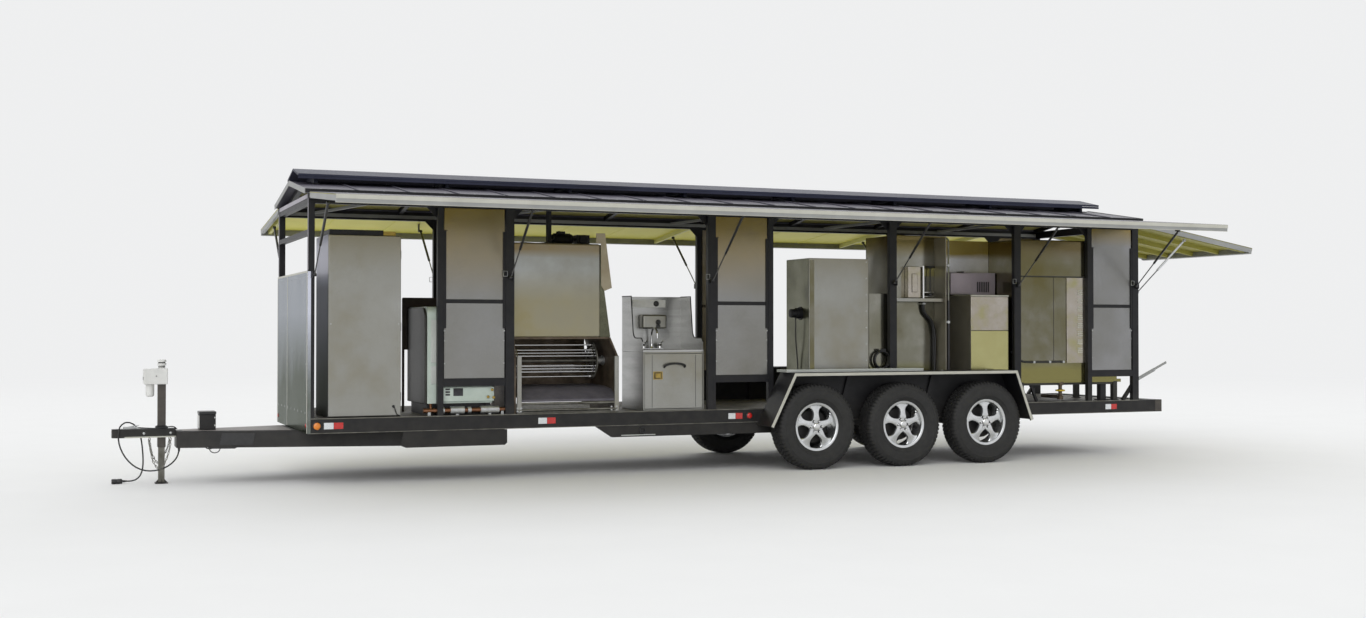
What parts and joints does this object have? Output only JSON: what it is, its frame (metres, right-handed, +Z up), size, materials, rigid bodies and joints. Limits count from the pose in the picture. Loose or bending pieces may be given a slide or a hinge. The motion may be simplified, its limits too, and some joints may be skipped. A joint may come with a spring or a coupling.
{
  "type": "open-sided kitchen trailer",
  "caption": "Triple-axle open-sided kitchen trailer: black tube frame, propped-up awnings on gas struts, stainless cooking and washing equipment, tongue jack.",
  "frame": {"origin": "on the ground, in the middle of the whole outline", "axes": "+X towards the rear, +Z up, the near side with the sink at -Y"},
  "size_m": [11.3372, 4.259, 2.663],
  "materials": {
    "black_frame": "black powder coat, satin",
    "stainless_steel": "mill-finish stainless sheet, stained and cloudy",
    "worn_steel": "smoked and greasy steel",
    "roof_sheet": "mauve-grey coated roof sheet",
    "ridge_black": "gloss black",
    "awning_sheet": "pale coated sheet with cream and light grey edge trim",
    "tyre_rubber": "matt black rubber",
    "polished_alloy": "polished",
    "mint_enamel": "pale mint enamel",
    "deck_steel": "dark deck plate",
    "jack_paint": "white head on a dark tube",
    "zinc_steel": "zinc plated",
    "black_strut": "black, satin",
    "lead_rubber": "black cable jacket and plug",
    "grey_strut": "light grey"
  },
  "bodies": {
    "chassis": {"chassis_frame": "black_frame", "deck_plate": "deck_steel", "tongue_frame": "black_frame", "coupler": "black_frame", "jack_tube": "jack_paint", "towing_lead": "lead_rubber", "lead_plug": "lead_rubber", "side_frame_near": "black_frame", "side_frame_far": "black_frame", "roof_frame": "black_frame", "roof_skin": "roof_sheet", "ridge_cap": "ridge_black", "nose_panel": "stainless_steel", "wall_panel_near_1": "stainless_steel", "wall_panel_near_2": "stainless_steel", "wall_panel_near_3": "stainless_steel", "wall_panel_far_1": "stainless_steel", "wall_panel_far_2": "stainless_steel", "wall_panel_far_3": "stainless_steel", "fender_near": "black_frame", "fender_far": "black_frame", "axle_1": "black_frame", "axle_2": "black_frame", "axle_3": "black_frame", "nose_cabinet": "stainless_steel", "boiler": "mint_enamel", "rotary_frame": "worn_steel", "rotary_hood": "stainless_steel", "sink_base": "stainless_steel", "sink_top": "stainless_steel", "tall_cabinet": "stainless_steel", "chiller": "stainless_steel", "small_cabinet": "stainless_steel", "rear_tank": "stainless_steel"},
    "jack_foot": {"jack_leg": "zinc_steel"},
    "wheel_near_1": {"tyre_near_1": "tyre_rubber", "rim_near_1": "polished_alloy"},
    "wheel_far_1": {"tyre_far_1": "tyre_rubber", "rim_far_1": "polished_alloy"},
    "wheel_near_2": {"tyre_near_2": "tyre_rubber", "rim_near_2": "polished_alloy"},
    "wheel_far_2": {"tyre_far_2": "tyre_rubber", "rim_far_2": "polished_alloy"},
    "wheel_near_3": {"tyre_near_3": "tyre_rubber", "rim_near_3": "polished_alloy"},
    "wheel_far_3": {"tyre_far_3": "tyre_rubber", "rim_far_3": "polished_alloy"},
    "awning_near": {"awning_near": "awning_sheet"},
    "awning_far": {"awning_far": "awning_sheet"},
    "awning_rear": {"awning_rear": "awning_sheet"},
    "struts_near": {"strut_near_1": "black_strut", "strut_near_2": "black_strut", "strut_near_3": "black_strut"},
    "struts_far": {"strut_far_1": "black_strut", "strut_far_2": "black_strut", "strut_far_3": "black_strut"},
    "struts_rear": {"strut_rear_near": "grey_strut", "strut_rear_far": "grey_strut"},
    "reel": {"rotary_reel": "worn_steel"},
    "sink_door": {"sink_door": "stainless_steel"}
  },
  "joints": [
    {"name": "wheel_near_1_turn", "type": "hinge", "parent": "chassis", "child": "wheel_near_1", "pos_m": [0.3014, -0.9925, 0.391], "axis": [0, 1, 0], "continuous": true},
    {"name": "wheel_far_1_turn", "type": "hinge", "parent": "chassis", "child": "wheel_far_1", "pos_m": [0.3014, 0.9925, 0.391], "axis": [0, 1, 0], "continuous": true},
    {"name": "wheel_near_2_turn", "type": "hinge", "parent": "chassis", "child": "wheel_near_2", "pos_m": [1.2164, -0.9925, 0.391], "axis": [0, 1, 0], "continuous": true},
    {"name": "wheel_far_2_turn", "type": "hinge", "parent": "chassis", "child": "wheel_far_2", "pos_m": [1.2164, 0.9925, 0.391], "axis": [0, 1, 0], "continuous": true},
    {"name": "wheel_near_3_turn", "type": "hinge", "parent": "chassis", "child": "wheel_near_3", "pos_m": [2.1314, -0.9925, 0.391], "axis": [0, 1, 0], "continuous": true},
    {"name": "wheel_far_3_turn", "type": "hinge", "parent": "chassis", "child": "wheel_far_3", "pos_m": [2.1314, 0.9925, 0.391], "axis": [0, 1, 0], "continuous": true},
    {"name": "jack_slide", "type": "slide", "parent": "chassis", "child": "jack_foot", "axis": [0, 0, 1], "range_m": [0, 0.25]},
    {"name": "awning_near_close", "type": "hinge", "parent": "chassis", "child": "awning_near", "pos_m": [-4.2186, -0.905, 2.345], "axis": [1, 0, 0], "range_deg": [0, 84.4]},
    {"name": "struts_near_swing", "type": "hinge", "parent": "awning_near", "child": "struts_near", "pos_m": [-4.2186, -1.49862, 2.25062], "axis": [1, 0, 0], "range_deg": [-134.51, 0.5]},
    {"name": "awning_far_close", "type": "hinge", "parent": "chassis", "child": "awning_far", "pos_m": [-4.2186, 0.905, 2.345], "axis": [-1, 0, 0], "range_deg": [0, 84.4]},
    {"name": "struts_far_swing", "type": "hinge", "parent": "awning_far", "child": "struts_far", "pos_m": [-4.2186, 1.49862, 2.25062], "axis": [-1, 0, 0], "range_deg": [-134.51, 0.5]},
    {"name": "awning_rear_close", "type": "hinge", "parent": "chassis", "child": "awning_rear", "pos_m": [4.2064, 0, 2.345], "axis": [0, 1, 0], "range_deg": [0, 80.5]},
    {"name": "struts_rear_swing", "type": "hinge", "parent": "awning_rear", "child": "struts_rear", "pos_m": [4.79223, 0, 2.21047], "axis": [0, 1, 0], "range_deg": [-129.21, 0.5]},
    {"name": "reel_turn", "type": "hinge", "parent": "chassis", "child": "reel", "pos_m": [-2.0286, -0.435, 1], "axis": [1, 0, 0], "continuous": true},
    {"name": "sink_door_open", "type": "hinge", "parent": "chassis", "child": "sink_door", "pos_m": [-1.2736, -0.795, 0.816], "axis": [0, 0, -1], "range_deg": [0, 100]}
  ],
  "couplings": [
    {"joint": "struts_near_swing", "follows": "awning_near_close", "ratio": -1.5878},
    {"joint": "struts_far_swing", "follows": "awning_far_close", "ratio": -1.5878},
    {"joint": "struts_rear_swing", "follows": "awning_rear_close", "ratio": -1.5989}
  ]
}
